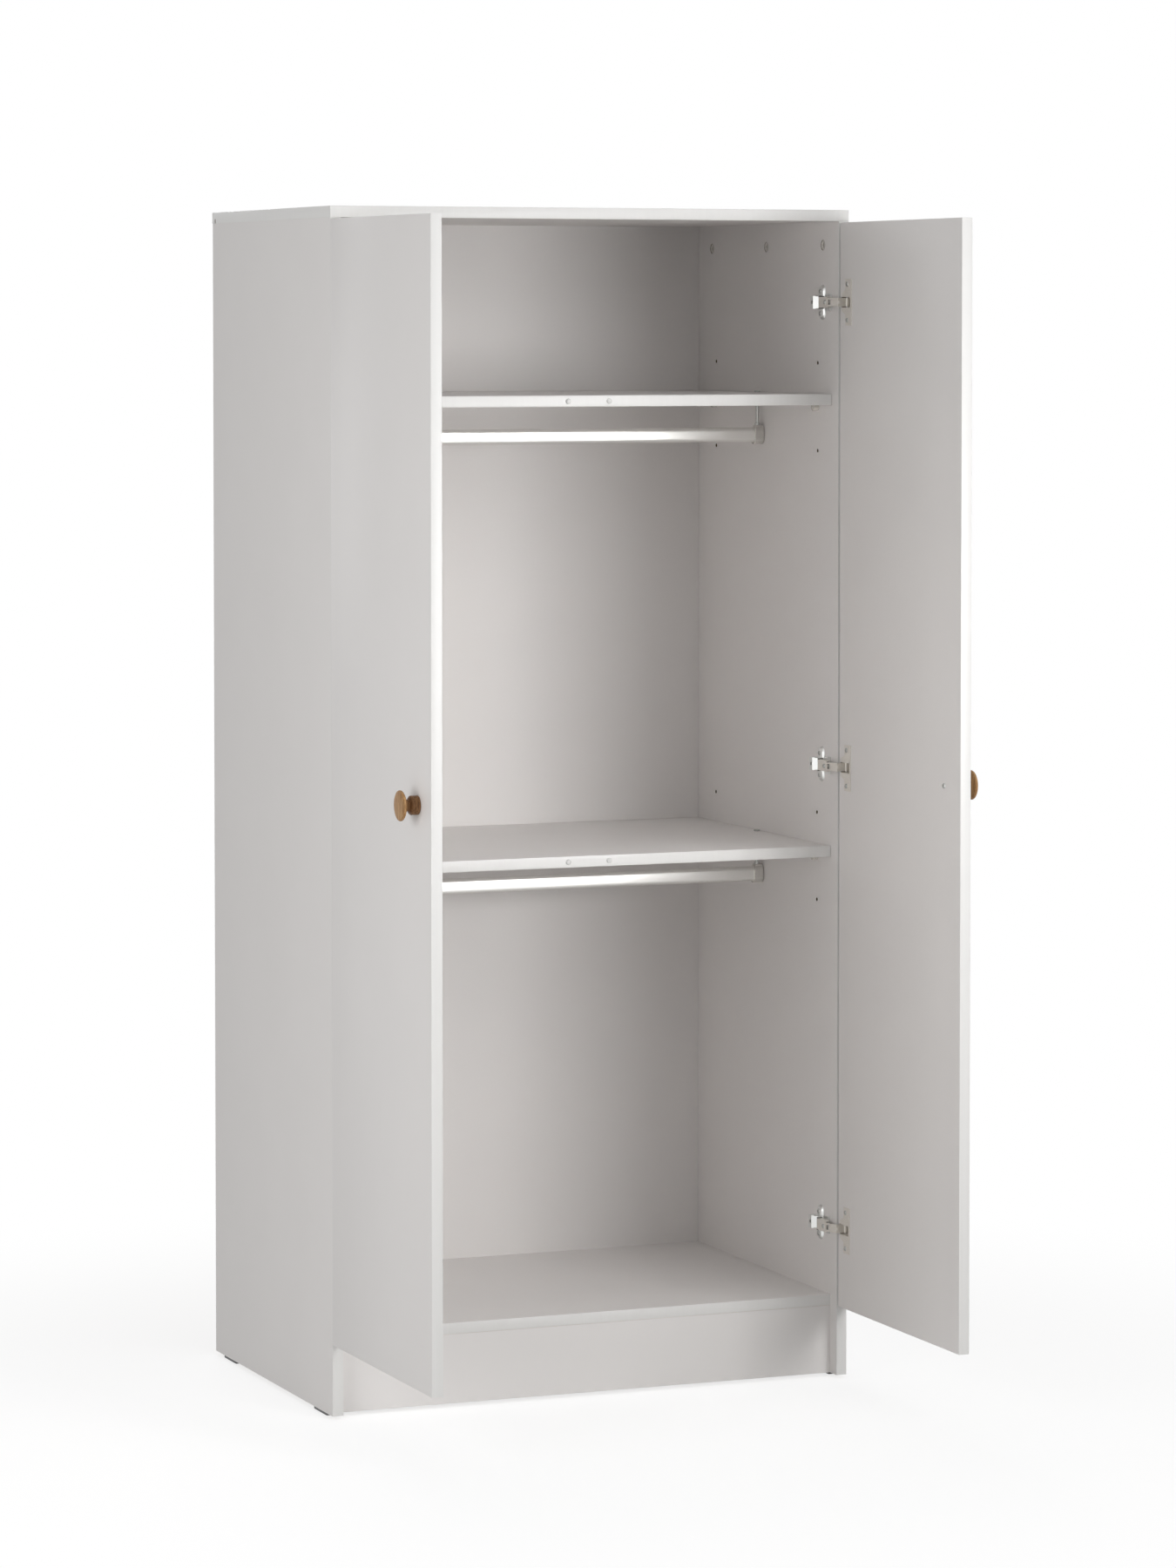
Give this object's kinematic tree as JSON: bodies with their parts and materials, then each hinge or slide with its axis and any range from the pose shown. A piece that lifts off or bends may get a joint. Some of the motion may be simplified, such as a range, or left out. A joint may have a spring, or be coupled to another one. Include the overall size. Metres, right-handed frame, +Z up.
{
  "type": "two-door wardrobe",
  "caption": "Tall white flat-pack wardrobe with hinged doors standing open, shelves above oval hanging rails, turned wooden knobs and a recessed plinth.",
  "frame": {"origin": "on the floor, under the middle of the whole object's box with both doors standing open at a right angle", "axes": "+X to the viewer's right across the front, +Y from the front to the back, +Z up"},
  "size_m": [0.8524, 0.9222, 1.7],
  "materials": {
    "white_laminate": "satin laminate on chipboard",
    "back_board": "satin lacquer on thin fibreboard",
    "turned_wood": "satin varnish",
    "dowel_wood": "plain beech",
    "rail_aluminium": "satin anodised",
    "zinc_casting": "plain zinc alloy",
    "nickel_steel": "nickel plated",
    "bright_steel": "zinc plated",
    "glide_plastic": "matt",
    "white_plastic": "semi-gloss"
  },
  "bodies": {
    "carcass": {"back_panel": "back_board", "back_panel_nails": "bright_steel", "bottom_panel": "white_laminate", "cam_bolts": "bright_steel", "cam_locks": "zinc_casting", "floor_glides": "glide_plastic", "hinge_arm_screws": "bright_steel", "hinge_plate_screws": "bright_steel", "left_bottom_hinge_arm": "nickel_steel", "left_bottom_hinge_plate": "nickel_steel", "left_middle_hinge_arm": "nickel_steel", "left_middle_hinge_plate": "nickel_steel", "left_side_panel": "white_laminate", "left_top_hinge_arm": "nickel_steel", "left_top_hinge_plate": "nickel_steel", "lower_left_rail_bracket": "zinc_casting", "lower_rail": "rail_aluminium", "lower_right_rail_bracket": "zinc_casting", "lower_shelf": "white_laminate", "lower_shelf_supports": "nickel_steel", "plinth": "white_laminate", "rail_bracket_bolts": "bright_steel", "right_bottom_hinge_arm": "nickel_steel", "right_bottom_hinge_plate": "nickel_steel", "right_middle_hinge_arm": "nickel_steel", "right_middle_hinge_plate": "nickel_steel", "right_side_panel": "white_laminate", "right_top_hinge_arm": "nickel_steel", "right_top_hinge_plate": "nickel_steel", "shelf_edge_plugs": "white_plastic", "top_panel": "white_laminate", "upper_left_rail_bracket": "zinc_casting", "upper_rail": "rail_aluminium", "upper_right_rail_bracket": "zinc_casting", "upper_shelf": "white_laminate", "upper_shelf_supports": "nickel_steel", "wood_dowels": "dowel_wood"},
    "left_door": {"left_bottom_hinge_cup": "nickel_steel", "left_cup_screws": "bright_steel", "left_door": "white_laminate", "left_hinge_pins": "bright_steel", "left_knob": "turned_wood", "left_knob_screw": "bright_steel", "left_middle_hinge_cup": "nickel_steel", "left_top_hinge_cup": "nickel_steel"},
    "right_door": {"right_bottom_hinge_cup": "nickel_steel", "right_cup_screws": "bright_steel", "right_door": "white_laminate", "right_hinge_pins": "bright_steel", "right_knob": "turned_wood", "right_knob_screw": "bright_steel", "right_middle_hinge_cup": "nickel_steel", "right_top_hinge_cup": "nickel_steel"}
  },
  "joints": [
    {"name": "left_door_hinge", "type": "hinge", "parent": "carcass", "child": "left_door", "pos_m": [-0.3896, -0.07295, 0.89425], "axis": [0, 0, -1], "range_deg": [-90, 10]},
    {"name": "right_door_hinge", "type": "hinge", "parent": "carcass", "child": "right_door", "pos_m": [0.3896, -0.07295, 0.89425], "axis": [0, 0, 1], "range_deg": [-90, 10]}
  ]
}
